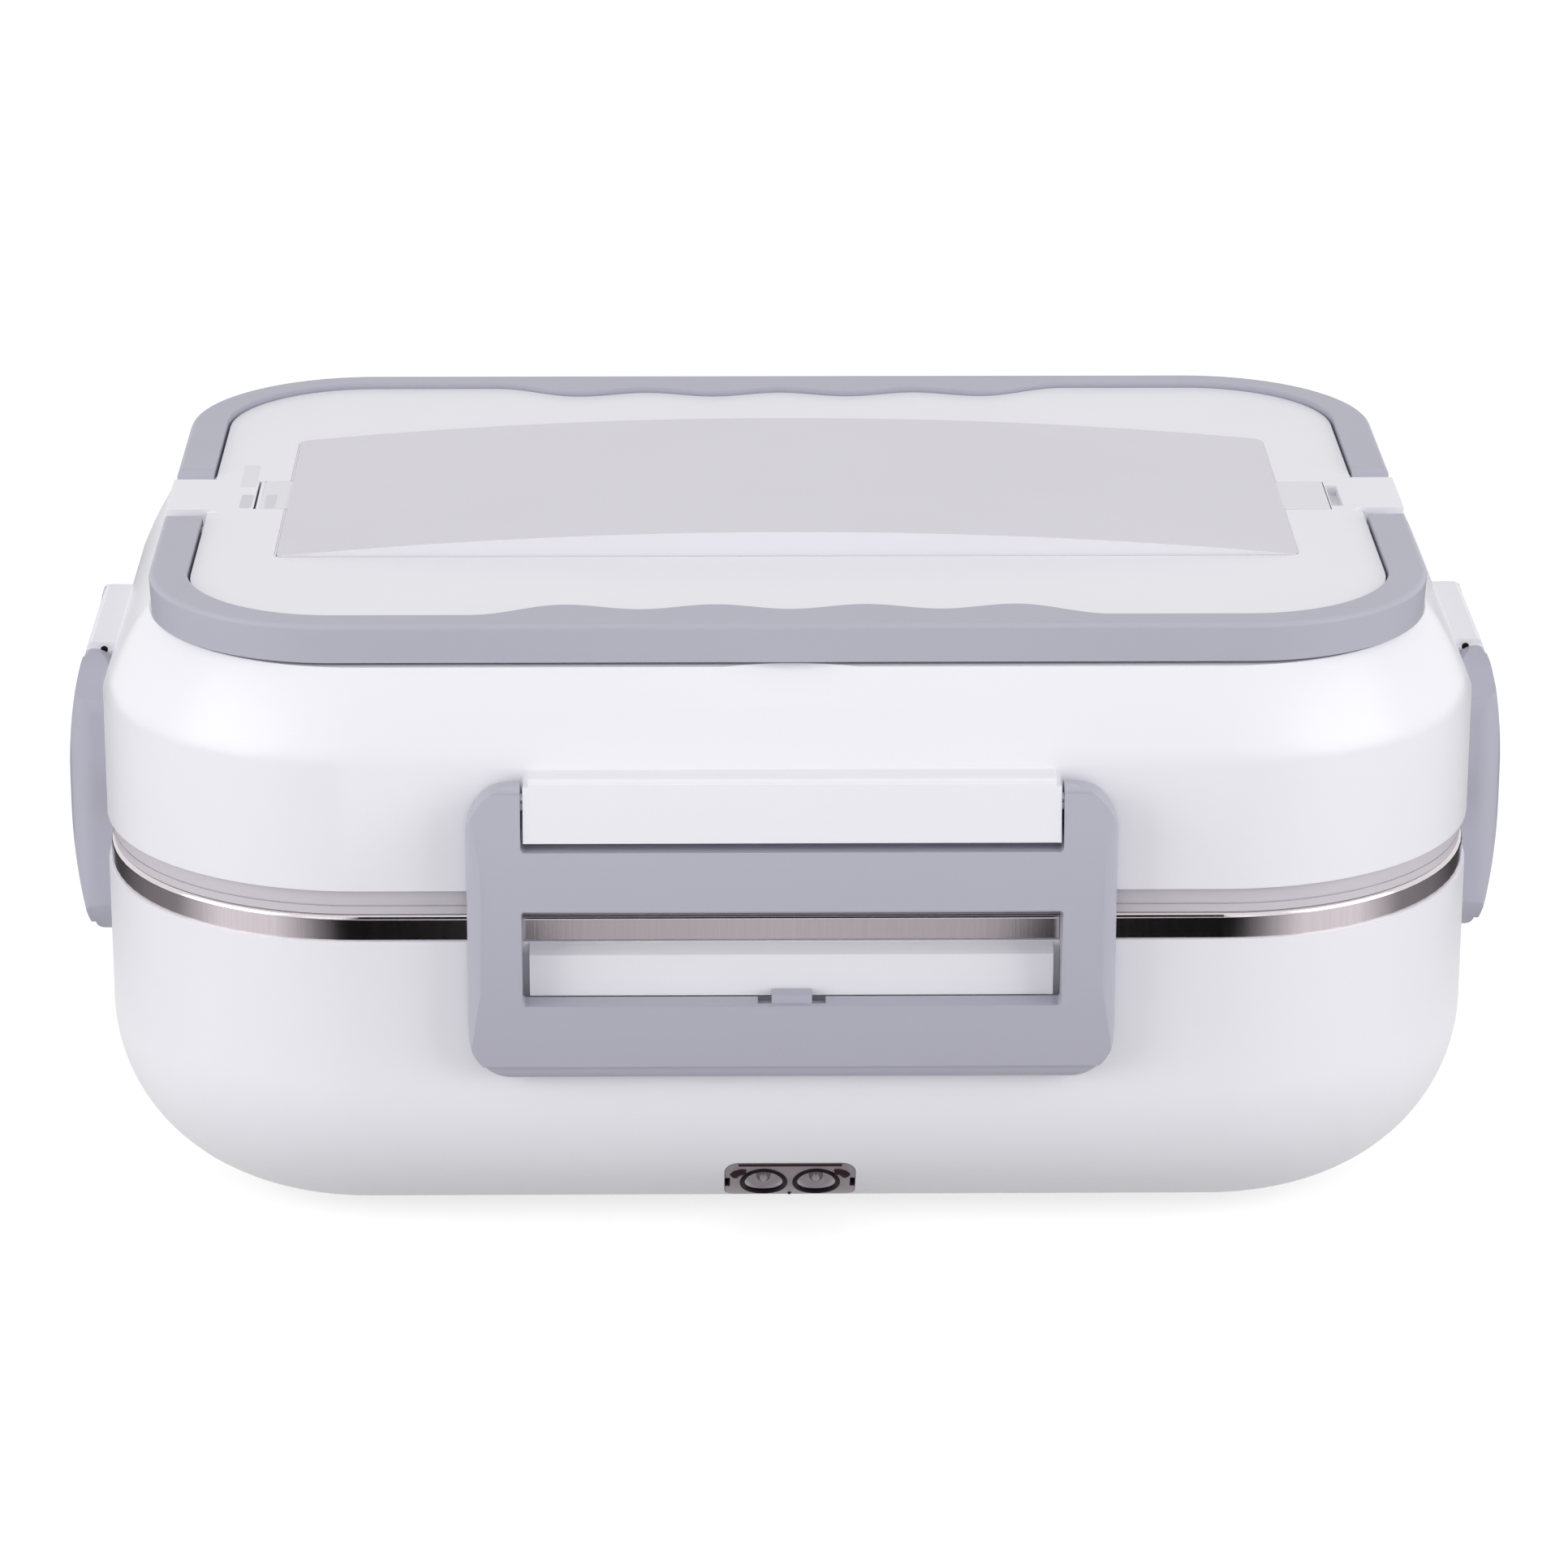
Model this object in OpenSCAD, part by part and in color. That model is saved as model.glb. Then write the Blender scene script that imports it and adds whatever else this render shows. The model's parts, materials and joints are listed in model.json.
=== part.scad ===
// Portable electric lunch box: tub with heater, steel container, latched lid with a folding handle.
// Millimetres. X to the right, +Y to the rear, Z up; origin under the centre, on the table.

/* [Body outline] */
// Length from side wall to side wall
body_x = 225; // [215:1:250]
// Depth from front wall to rear wall
body_y = 163.4; // [155:0.2:185]
// Corner radius seen from above
corner_r = 43.5; // [40:0.5:50]

/* [Tub] */
// Height of the tub's underside over the table
body_bottom = 0.8; // [0.5:0.1:2]
// Height of the tub's rim
base_top = 55; // [52:0.5:60]
// Radius of the round edge under the tub
bottom_fillet = 30; // [26:0.5:33]
// Wall of the tub
base_wall = 2.5; // [2:0.1:3]

/* [Inner tub] */
// Air gap between the tub and the inner tub
liner_gap = 4.5; // [3.5:0.1:5]
// Wall of the inner tub
liner_wall = 2; // [1.5:0.1:2.4]
// Height of the wiring space above the tub's floor
wiring_h = 11.7; // [11.5:0.1:13]
// Gap between the inner tub and the container
container_gap = 1; // [0.8:0.1:2]

/* [Container] */
// Thickness of the steel sheet
steel_t = 0.7; // [0.5:0.1:1]
// Height of the steel rim band that shows over the tub
rim_band_h = 4.4; // [3.5:0.1:6]
// Inset of the rim band from the wall
rim_inset = 0.5; // [0.3:0.1:1]
// Rounding of the rim band's upper edge
rim_r = 0.9; // [0.8:0.1:1.5]

/* [Lid] */
// Height of the gap between the rim band and the lid, which the seal fills
seal_h = 4.2; // [3:0.1:5]
// Height of the lid's straight wall
lid_straight_h = 20.8; // [20:0.1:24]
// Radius of the shoulder's rounded face, seen from the side
shoulder_r = 60; // [40:1:90]
// Height of the shoulder above the straight wall
shoulder_rise = 14; // [13:0.1:14.5]
// Distance that the shoulder leans in over its height
shoulder_in = 8; // [7:0.1:9]
// Wall of the lid
lid_wall = 3; // [2.4:0.1:3.4]
// Height of the raised top above the channel floor
plateau_h = 6; // [5.6:0.1:7]
// Skin of the raised top
plateau_skin = 2.2; // [1.8:0.1:2.6]
// Inset of the seal's outer face from the wall
seal_inset = 1; // [0.6:0.1:1.6]

/* [Handle] */
// Outer length of the handle loop
handle_x = 208; // [198:0.2:209]
// Outer depth of the handle loop
handle_y = 146.6; // [140:0.2:148]
// Outer corner radius of the handle loop
handle_r = 31; // [28:0.5:34]
// Thickness of the handle
handle_t = 6.5; // [6.3:0.1:7]
// Width of a side arm
arm_w = 6.3; // [5.5:0.1:7]
// Width of the front and rear bars
bar_w = 5; // [4.6:0.1:7]
// Gap between handle and raised top
handle_play = 0.5; // [0.4:0.1:1]
// Gap under the handle
under_handle = 0.5; // [0.4:0.1:1.2]
// Lean of the outer face, over the handle's height
handle_lean = 0.3; // [0:0.05:1.6]
// Distance of the handle pins from the middle line
handle_pin_y = 14.5; // [14.4:0.1:16]
// Radius of the handle pins
handle_pin_r = 1.5; // [1.2:0.05:1.7]
// Spacing of the finger crests
crest_pitch = 24; // [22:0.5:25]
// Depth of the waves between the crests
wave_depth = 2.5; // [1.5:0.1:3]
// Height of the crests over the bar's inner edge
crest_h = 5.3; // [4.5:0.1:6]
// Length over which the wave runs out into the bar
wave_run = 15; // [10:0.5:18]
// Half width of the bridges between the arm ends
bridge_half = 8.8; // [7:0.1:9.5]
// Rise of the bridges over the raised top
bridge_rise = 0.6; // [0.4:0.1:1]

/* [Cutlery compartment] */
// Half length of the arched cover
cover_x = 84; // [76:0.5:85]
// Half depth of the arched cover
cover_y = 34; // [30:0.5:40]
// Rise of the cover's arch
cover_rise = 4; // [2.5:0.1:5]
// Wall of the cover
cover_wall = 1.8; // [1.4:0.1:2]
// Depth of the compartment below the cover
pocket_depth = 18.6; // [12:0.2:18.8]
// Width of the seat that the cover rests on
seat_w = 3; // [2.5:0.1:4]
// Half width of the cover's pull tongue
tongue_half = 8; // [6:0.5:8.2]
// Width of the hinge tongue
hinge_w = 16; // [14:0.5:17]
// Offset of the hinge tongue from the middle line
hinge_offset = 1.5; // [-1:0.5:2]
// Radius of the cover's hinge pin
cover_pin_r = 0.8; // [0.6:0.05:0.9]

/* [Latches] */
// Distance that a latch stands out from the wall
latch_proud = 8; // [7.5:0.1:9]
// Half length of a front latch
front_latch_half = 51.5; // [44:0.5:56]
// Half length of a side latch
side_latch_half = 26; // [22:0.5:30]
// Width of a latch's rails
latch_rail = 8.7; // [7:0.1:10]
// Depth of a front latch below the tub's rim
front_latch_drop = 22.6; // [19:0.1:24]
// Depth of a side latch below the tub's rim
side_latch_drop = 21.4; // [19:0.1:24]
// Radius of a latch's bow, seen from the side
latch_bow_r = 100; // [90:5:140]
// Corner radius of a latch, seen from the front
latch_corner_r = 9; // [6:0.5:10]
// Rounding of a latch's outer side edges
latch_edge_r = 4.4; // [3:0.1:4.6]
// Running gap between latches, brackets and catches
latch_gap = 0.3; // [0.2:0.05:0.5]
// Gap between a bracket's end and the latch's rail
bracket_play = 0.4; // [0.3:0.05:0.6]
// Length of the notch at a bracket's upper corners
bracket_notch = 0.8; // [0.5:0.1:2]
// Gap between a catch ledge's end and the latch's rail
ledge_play = 1.1; // [0.6:0.1:1.4]
// Height of a bracket
bracket_h = 10; // [9:0.1:10.5]
// Distance that a catch ledge stands out from the tub
catch_proud = 2.4; // [2:0.1:3.4]
// Height of a catch ledge
catch_h = 8.2; // [6:0.1:9]
// Radius of a latch pin
latch_pin_r = 1.5; // [1.2:0.05:1.6]

/* [Inlet] */
// Width of the inlet
inlet_w = 21.2; // [20:0.2:24]
// Height of the inlet
inlet_h = 10.2; // [9.6:0.1:10.4]
// Radius of a contact well
well_r = 3.5; // [3.2:0.1:3.8]
// Spacing of the contacts
contact_pitch = 8.6; // [8.2:0.1:10]
// Radius of a contact
contact_r = 1.2; // [0.9:0.05:1.4]

/* [Heater] */
// Length of the heating plate's face
plate_x = 108; // [100:1:112]
// Depth of the heating plate's face
plate_y = 64; // [60:1:66]
// Width of the heating plate's flange
plate_flange = 6; // [5:0.2:6.5]
// Thickness of the heating plate's flange
flange_t = 1.4; // [1:0.1:1.6]
// Thickness of the plate seal
plate_seal_t = 0.8; // [0.6:0.1:1]
// Rise of the heating plate over the inner tub's floor
plate_rise = 0.6; // [0.5:0.1:1]
// Length of a heating element
heater_x = 36; // [30:1:38]
// Depth of a heating element
heater_y = 26; // [20:1:28]
// Thickness of a heating element
heater_t = 3.2; // [2.5:0.1:3.4]
// Radius of the thermostat
thermostat_r = 7; // [6:0.1:7.5]
// Radius of a wire
wire_r = 1.1; // [0.8:0.05:1.2]

/* [Fasteners and feet] */
// Distance of the case screws from the middle, along X
screw_x = 70; // [66:0.5:74]
// Distance of the case screws from the middle, along Y
screw_y = 43; // [42:0.5:45]
// Radius of a case screw's shank
screw_r = 1.5; // [1.25:0.05:1.75]
// Distance of the feet from the middle, along X
foot_x = 52; // [44:0.5:56]
// Distance of the feet from the middle, along Y
foot_y = 42; // [34:0.5:44]
// Radius of a foot
foot_r = 6; // [4:0.5:7]

/* [Hidden] */

$fn = 96;
cut = 1;             // overshoot of a cut past the face that it opens
run = 0.05;          // radial running clearance of a pin in its bore
slip = 0.1;          // clearance of parts that slide together by hand
half_turn = 180;
quarter_turn = 90;

// Heights
tub_floor = body_bottom + base_wall;
liner_floor = tub_floor + wiring_h;
liner_in = base_wall + liner_gap;
container_in = liner_in + liner_wall + container_gap;
plate_top = liner_floor + liner_wall + plate_rise;
rim_top = base_top + rim_band_h;
lid_bottom = rim_top + seal_h;
lid_wall_top = lid_bottom + lid_straight_h;
channel_floor = lid_wall_top + shoulder_rise;
ceiling = channel_floor - plateau_skin;
// Middle of the shoulder's circle, in a section that starts at the corner's centre
shoulder_chord = norm([shoulder_in, shoulder_rise]);
shoulder_reach = sqrt(pow(shoulder_r, 2) - pow(shoulder_chord / 2, 2));
shoulder_centre = [corner_r - shoulder_in / 2 - shoulder_reach * shoulder_rise / shoulder_chord,
  lid_wall_top + shoulder_rise / 2 - shoulder_reach * shoulder_in / shoulder_chord];
plateau_top = channel_floor + plateau_h;
handle_low = channel_floor + under_handle;
handle_top = handle_low + handle_t;

// Inner tub's rim
ridge_t = 2;
ridge_drop = 4;
shelf_w = 2;
shelf_h = 2;
ridge_top = rim_top - steel_t;

// Lid liner and seal
rabbet_h = 4;
rabbet_wall = 2;
lid_liner_t = 1.8;
lid_liner_rise = 12.4;
lid_liner_rim = 10;
seal_w = 7;
seal_tongue_w = 2.4;
seal_tongue_h = 2;
seal_tongue_in = 3.4;
seal_lip = 1.3;       // height of the lip below the groove in the seal's outer face
seal_groove = 0.25;

// Handle
crests = 4;
wave_half = (crests - 1) / 2 * crest_pitch;
wave_steps = 88;
bar_inner_y = handle_y / 2 - bar_w;
crest_y = bar_inner_y - crest_h;
handle_inner_r = handle_r - arm_w;
handle_pin_z = handle_low + handle_t / 2;
handle_round = 1;
handle_round_steps = 6;
plateau_x = handle_x - 2 * arm_w - 2 * handle_play;
plateau_y = handle_y - 2 * bar_w - 2 * handle_play;
plateau_wall = 2.4;
pin_in_arm = 4.5;
pin_in_lid = 5.5;
boss_half = 4;
bridge_ramp = 2.6;
bridge_end = handle_x / 2 + 0.2;

// Compartment and cover
cover_low = plateau_top - cover_wall;
cover_end_top = plateau_top + 0.1;
crest_z = cover_end_top + cover_rise;
arch_r = (pow(cover_x, 2) + pow(cover_rise, 2)) / (2 * cover_rise);
pocket_x = cover_x - seat_w;
pocket_y = cover_y - seat_w;
pocket_r = 8;
pocket_floor = cover_low - pocket_depth;
pocket_wall = 2.2;
boss_len = pin_in_lid + pocket_wall;
seat_block_h = 5;
seat_gap = 0.2;
// Extra clearance at the cover's hinged end, which turns past the lid
swing_gap = 0.2;
cover_r = 1.5;
lip_t = 1.2;
lip_h = 2.4;
hinge_x = -(cover_x + 4);
barrel_r = cover_wall - 0.4;
hinge_z = plateau_top - barrel_r;
tongue_len = 8;
nail_slot_w = 1.9;
nail_slot_half = 6;

// Latches: heights shared by catch, window, bracket and pin
bracket_top = lid_wall_top - 0.4;
bracket_low = bracket_top - bracket_h;
bracket_notch_h = 1.2;
latch_cut_low = bracket_low - 1.4;
latch_top = lid_wall_top - 1.2;
catch_top = base_top - 0.1;
catch_slope = 1.3;
catch_low = catch_top - catch_h;
window_low = catch_low - 0.1;
window_high = base_top + 8;
pivot_gap = 3.4;                       // a latch's round top about its pin
pivot_z = latch_top - pivot_gap;
pivot_p = pivot_gap + 0.2;             // distance of a latch pin from the wall
rail_gap = 0.4;                        // gap between a latch's rails and the wall
bow_z = base_top + 5;
latch_top_r = 1.4;
latch_bottom_r = 3;
pin_in_rail = 5;
tab_half = 3.2;
tab_h = 1.3;
tab_notch = 2.2;
tab_notch_h = 0.8;
tab_lip = 1.2;
opening_r = 0.6;
bracket_edge_r = 0.8;

// Finger scoop in the shoulder under the front bar
scoop_r = 40;
scoop_depth = 1.5;
scoop_up = 1.9;      // how far the dish's middle lies above the shoulder's edge, along the surface

// Inlet
inlet_z = 9.3;
inlet_r = 2.2;
inlet_back = 48 / 81.7 * body_y / 2;
inlet_body = 6;
contact_reach = 16.6;
tail_len = 4;
well_back = inlet_back + inlet_body;
contact_tip = well_back + contact_reach;
contact_tail = inlet_back - tail_len;
key_w = 1.6;
key_h = 2.6;
key_depth = 3;

// Heater stack under the plate
plate_r = 10;
flange_low = liner_floor - plate_seal_t - flange_t;
heater_low = flange_low - heater_t;
heater_gap = 20;
bus_h = 1.2;
bus_w = 4;
tab_w = 4;
tab_t = 0.8;
tab_len = 4;
tab_x = 30;
tab_z = flange_low - 1.6;
sheet_t = 0.5;
strap_t = 1.2;
strap_w = 16;
strap_low = heater_low - sheet_t - strap_t;
strap_half = plate_x / 2 + plate_flange - 3;
leg_w = 7;
clamp_head_r = 2.8;
clamp_head_h = 1.6;
clamp_screw_r = 1.25;
clamp_screw_x = strap_half - leg_w / 2;
thermostat_h = 7.4;
thermostat_y = 27;
fuse_r = 2;
fuse_half = 9;
fuse_lead_r = 0.5;
fuse_lead = 3;
fuse_y = -27;
fuse_z = flange_low - fuse_r;
clip_w = 6;
clip_half_y = 3.6;
clip_t = 1.2;

// Screws and feet
boss_r = 4.5;
pillar_h = 3;
pillar_r = 5;
head_r = 3;
head_h = 1.7;
foot_recess = 0.7;
screw_len = 12;

// Wires run as cubic curves between these points
wire_rings = 14;
wire_sides = 8;
pin_x = contact_pitch / 2;
thermostat_tab_x = thermostat_r + 2;
thermostat_tab_z = flange_low - 4.6;
fuse_end = fuse_half + fuse_lead;
tab_end = heater_y / 2 + tab_len;
wire_bend = 6;
fuse_bend = 22 - fuse_end;
loop_x = 34;
loop_z = tub_floor + 0.5;
lead_bend = 20 - thermostat_tab_x;
tab_bend = 8;
tail_y = -contact_tail + wire_bend;
live_route = [[-pin_x, -contact_tail, inlet_z], [-pin_x, tail_y, inlet_z],
  [-fuse_end - fuse_bend, fuse_y, fuse_z], [-fuse_end, fuse_y, fuse_z]];
fuse_route = [[fuse_end, fuse_y, fuse_z], [loop_x, fuse_y, loop_z], [loop_x, thermostat_y, loop_z],
  [thermostat_tab_x, thermostat_y, thermostat_tab_z]];
lead_route = [[-thermostat_tab_x, thermostat_y, thermostat_tab_z],
  [-thermostat_tab_x - lead_bend, thermostat_y, thermostat_tab_z],
  [-tab_x, tab_end + tab_bend, tab_z], [-tab_x, tab_end, tab_z]];
neutral_route = [[pin_x, -contact_tail, inlet_z], [pin_x, tail_y, inlet_z],
  [tab_x, -tab_end - tab_bend - 3, tab_z], [tab_x, -tab_end, tab_z]];

white = [0.93, 0.93, 0.95];
grey = [0.7, 0.7, 0.74];
frost = [0.84, 0.84, 0.86];
silicone = [0.7, 0.69, 0.71];
steel = [0.6, 0.58, 0.57];
dark = [0.2, 0.18, 0.17];

// ---- Shared shapes ----

// Rectangle with round corners, centred
module round_rect(x, y, r) {
  square([x - 2 * r, y], center = true);
  square([x, y - 2 * r], center = true);
  for (sx = [-1, 1], sy = [-1, 1])
    translate([sx * (x / 2 - r), sy * (y / 2 - r)]) circle(r);
}

// The body's outline from above, moved inwards
module outline(inset) {
  round_rect(body_x - 2 * inset, body_y - 2 * inset, corner_r - inset);
}

// A plate with the body's outline
module slab(inset, low, high) {
  translate([0, 0, low]) linear_extrude(high - low) outline(inset);
}

// A ring that follows the body's outline
module ring(inset, width, low, high) {
  difference() {
    slab(inset, low, high);
    slab(inset + width, low - cut, high + cut);
  }
}

// Carries a half section round a rounded rectangle; the section starts at the corner's centre
module swept(x, y, r, low, high) {
  for (i = [0 : 3]) {
    side = i % 2 == 0 ? x / 2 - r : y / 2 - r;
    run_length = i % 2 == 0 ? y - 2 * r : x - 2 * r;
    corner = [[1, 1], [-1, 1], [-1, -1], [1, -1]][i];
    translate([corner[0] * (x / 2 - r), corner[1] * (y / 2 - r), 0])
      rotate(quarter_turn * i) rotate_extrude(angle = quarter_turn) children();
    rotate(quarter_turn * i) translate([side, 0, 0])
      rotate([quarter_turn, 0, 0]) linear_extrude(run_length, center = true) children();
  }
  translate([r - x / 2, r - y / 2, low]) cube([x - 2 * r, y - 2 * r, high - low]);
}

// What a rounding takes off a corner at the origin; the solid lies towards -X and -Y
module corner_waste(r) {
  difference() {
    translate([-r, -r]) square(r + cut);
    translate([-r, -r]) circle(r);
  }
}

// Solid with the body's outline, rounded below or above
module crate(inset, low, high, low_r, high_r) {
  r = corner_r - inset;
  swept(body_x - 2 * inset, body_y - 2 * inset, r, low, high) difference() {
    translate([0, low]) square([r, high - low]);
    if (low_r > 0) translate([r, low]) mirror([0, 1]) corner_waste(low_r);
    if (high_r > 0) translate([r, high]) corner_waste(high_r);
  }
}

// Four places, mirrored in X and Y
module four(x, y) {
  for (sx = [-1, 1], sy = [-1, 1]) translate([sx * x, sy * y, 0]) children();
}

// Turns a section in (distance from the wall, height) into a bar along one wall
module wall_bar(half) {
  rotate([quarter_turn, 0, -quarter_turn]) linear_extrude(2 * half, center = true) children();
}

// Puts a child, made for a wall at Y = 0 that faces -Y, on one of the four walls
module on_wall(side) {
  angle = side == "front" ? 0 : side == "right" ? quarter_turn : side == "rear" ? half_turn
    : -quarter_turn;
  reach = side == "front" || side == "rear" ? body_y / 2 : body_x / 2;
  rotate(angle) translate([0, -reach, 0]) children();
}

// The round outer face that latches and brackets share, seen from the side
module bow(proud) {
  translate([proud - latch_bow_r, bow_z]) circle(latch_bow_r, $fn = 720);
}

function latch_half(side) = side == "front" || side == "rear" ? front_latch_half : side_latch_half;
function latch_low(side) = base_top - (side == "front" || side == "rear" ? front_latch_drop
  : side_latch_drop);
function bracket_half(side) = latch_half(side) - latch_rail - bracket_play;
function bow_p(proud, z) = proud - latch_bow_r + sqrt(pow(latch_bow_r, 2) - pow(bow_z - z, 2));
SIDES = ["front", "right", "rear", "left"];

// ---- Tub ----

module catch_ledge(side) {
  on_wall(side) wall_bar(latch_half(side) - latch_rail - ledge_play)
    polygon([[-cut, catch_low], [catch_proud, catch_low], [catch_proud, catch_top - catch_slope],
      [0, catch_top], [-cut, catch_top]]);
}

module inlet_shape(grow) {
  translate([0, 0, inlet_z]) rotate([quarter_turn, 0, 0]) translate([0, 0, inlet_back])
    linear_extrude(body_y / 2 - inlet_back)
      round_rect(inlet_w + 2 * grow, inlet_h + 2 * grow, inlet_r + grow);
}

module base_shell() {
  color(white) difference() {
    union() {
      difference() {
        crate(0, body_bottom, base_top, bottom_fillet, 0);
        crate(base_wall, tub_floor, base_top + cut, bottom_fillet - base_wall, 0);
      }
      ring(base_wall - cut, shelf_w + cut, base_top - ridge_drop - shelf_h, base_top - ridge_drop);
      for (side = SIDES) catch_ledge(side);
      four(screw_x, screw_y) translate([0, 0, body_bottom])
        cylinder(r = pillar_r, h = base_wall + pillar_h);
    }
    inlet_shape(slip);
    four(foot_x, foot_y) translate([0, 0, body_bottom - cut]) cylinder(r = foot_r, h = foot_recess + cut);
    four(screw_x, screw_y) translate([0, 0, body_bottom - cut]) {
      cylinder(r = head_r + slip, h = base_wall + cut);
      cylinder(r = screw_r + slip, h = base_wall + pillar_h + 2 * cut);
    }
  }
}

module base_liner() {
  in = liner_in + liner_wall;
  color(white) difference() {
    union() {
      difference() {
        crate(liner_in, liner_floor, ridge_top, bottom_fillet - liner_in, 0);
        crate(in, liner_floor + liner_wall, ridge_top + cut, bottom_fillet - in, 0);
      }
      ring(base_wall + slip, in - base_wall - slip, ridge_top - ridge_t, ridge_top);
      ring(base_wall + slip, ridge_t, base_top - ridge_drop, ridge_top);
      four(screw_x, screw_y) translate([0, 0, tub_floor + pillar_h])
        cylinder(r = boss_r, h = liner_floor - tub_floor - pillar_h + cut);
    }
    translate([0, 0, liner_floor - cut]) linear_extrude(liner_wall + 2 * cut)
      round_rect(plate_x + 2 * slip, plate_y + 2 * slip, plate_r + slip);
    four(screw_x, screw_y) translate([0, 0, tub_floor])
      cylinder(r = screw_r, h = screw_len - base_wall + head_h);
  }
}

module case_screws() {
  color(steel) four(screw_x, screw_y) translate([0, 0, tub_floor]) {
    translate([0, 0, -head_h]) cylinder(r = head_r, h = head_h);
    translate([0, 0, -cut]) cylinder(r = screw_r, h = screw_len - base_wall + cut);
  }
}

module rubber_feet() {
  color(dark) four(foot_x, foot_y) cylinder(r = foot_r, h = body_bottom + foot_recess);
}

// ---- Heater and inlet ----

module heating_plate() {
  color(steel) {
    translate([0, 0, flange_low]) linear_extrude(plate_top - flange_low)
      round_rect(plate_x, plate_y, plate_r);
    translate([0, 0, flange_low]) linear_extrude(flange_t)
      round_rect(plate_x + 2 * plate_flange, plate_y + 2 * plate_flange, plate_r + plate_flange);
  }
}

module plate_seal() {
  color(silicone) translate([0, 0, flange_low + flange_t]) linear_extrude(plate_seal_t) difference() {
    round_rect(plate_x + 2 * plate_flange, plate_y + 2 * plate_flange, plate_r + plate_flange);
    round_rect(plate_x, plate_y, plate_r);
  }
}

module ptc_heaters() {
  color(frost) {
    for (s = [-1, 1]) translate([s * (heater_gap + heater_x) / 2, 0, heater_low + heater_t / 2]) {
      cube([heater_x, heater_y, heater_t], center = true);
      translate([s * (tab_x - (heater_gap + heater_x) / 2), 0, tab_z - heater_low - heater_t / 2])
        translate([-tab_w / 2, s > 0 ? -tab_end : heater_y / 2 - cut, -tab_t / 2])
          cube([tab_w, tab_len + cut, tab_t]);
    }
    translate([0, 0, tab_z]) cube([heater_gap + 2 * cut, bus_w, bus_h], center = true);
  }
}

module insulation_sheet() {
  color(frost) for (s = [-1, 1])
    translate([s * (heater_gap + heater_x) / 2, 0, heater_low - sheet_t / 2])
      cube([heater_x, heater_y, sheet_t], center = true);
}

module heater_clamp() {
  color(steel) difference() {
    union() {
      translate([-strap_half, -strap_w / 2, strap_low]) cube([2 * strap_half, strap_w, strap_t]);
      for (s = [-1, 1])
        translate([s * clamp_screw_x - leg_w / 2, -strap_w / 2, strap_low])
          cube([leg_w, strap_w, flange_low - strap_low]);
    }
    for (s = [-1, 1]) translate([s * clamp_screw_x, 0, strap_low - cut])
      cylinder(r = clamp_screw_r + slip, h = flange_low - strap_low + 2 * cut);
  }
}

module clamp_screws() {
  color(steel) for (s = [-1, 1]) translate([s * clamp_screw_x, 0, strap_low]) {
    translate([0, 0, -clamp_head_h]) cylinder(r = clamp_head_r, h = clamp_head_h);
    translate([0, 0, -clamp_head_h]) cylinder(r = clamp_screw_r, h = flange_low - strap_low + clamp_head_h);
  }
}

module thermostat() {
  color(dark) {
    translate([0, thermostat_y, flange_low - thermostat_h]) cylinder(r = thermostat_r, h = thermostat_h);
    translate([-thermostat_tab_x, thermostat_y - tab_w / 2, thermostat_tab_z - tab_t / 2])
      cube([2 * thermostat_tab_x, tab_w, tab_t]);
  }
}

module along_x(half, r) {
  rotate([0, quarter_turn, 0]) cylinder(r = r, h = 2 * half, center = true);
}

module thermal_fuse() {
  color(steel) translate([0, fuse_y, fuse_z]) {
    along_x(fuse_half, fuse_r);
    along_x(fuse_end, fuse_lead_r);
  }
}

module fuse_clip() {
  color(steel) difference() {
    translate([-clip_w / 2, fuse_y - clip_half_y, fuse_z - fuse_r - clip_t])
      cube([clip_w, 2 * clip_half_y, 2 * fuse_r + clip_t]);
    translate([0, fuse_y, fuse_z]) along_x(clip_w, fuse_r);
    translate([-clip_w, fuse_y - fuse_r, fuse_z]) cube([2 * clip_w, 2 * fuse_r, fuse_r + cut]);
  }
}

module inlet_housing() {
  color(dark) difference() {
    intersection() {
      inlet_shape(0);
      crate(0, body_bottom, base_top, bottom_fillet, 0);
    }
    for (s = [-1, 1]) {
      translate([s * pin_x, -well_back, inlet_z]) rotate([quarter_turn, 0, 0])
        cylinder(r = well_r, h = body_y / 2);
      translate([s * pin_x, 0, inlet_z]) rotate([quarter_turn, 0, 0]) cylinder(r = contact_r, h = body_y / 2);
      translate([s * inlet_w / 2 - key_w / 2, -body_y / 2, inlet_z - key_h / 2])
        cube([key_w, body_y / 2 - well_back - key_depth, key_h]);
    }
  }
}

module inlet_pins() {
  color(steel) for (s = [-1, 1]) translate([s * pin_x, -contact_tail, inlet_z])
    rotate([quarter_turn, 0, 0]) {
      cylinder(r = contact_r, h = contact_tip - contact_tail - contact_r);
      translate([0, 0, contact_tip - contact_tail - contact_r]) sphere(contact_r);
    }
}

// ---- Wires ----

function curve(p, t) = pow(1 - t, 3) * p[0] + 3 * t * pow(1 - t, 2) * p[1]
  + 3 * t * t * (1 - t) * p[2] + pow(t, 3) * p[3];
function heading(p, t) = pow(1 - t, 2) * (p[1] - p[0]) + 2 * t * (1 - t) * (p[2] - p[1])
  + t * t * (p[3] - p[2]);
function unit(v) = v / norm(v);
function side_of(v) = unit(cross(v, [0, 0, 1]));
function up_of(v) = unit(cross(side_of(v), v));

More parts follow.
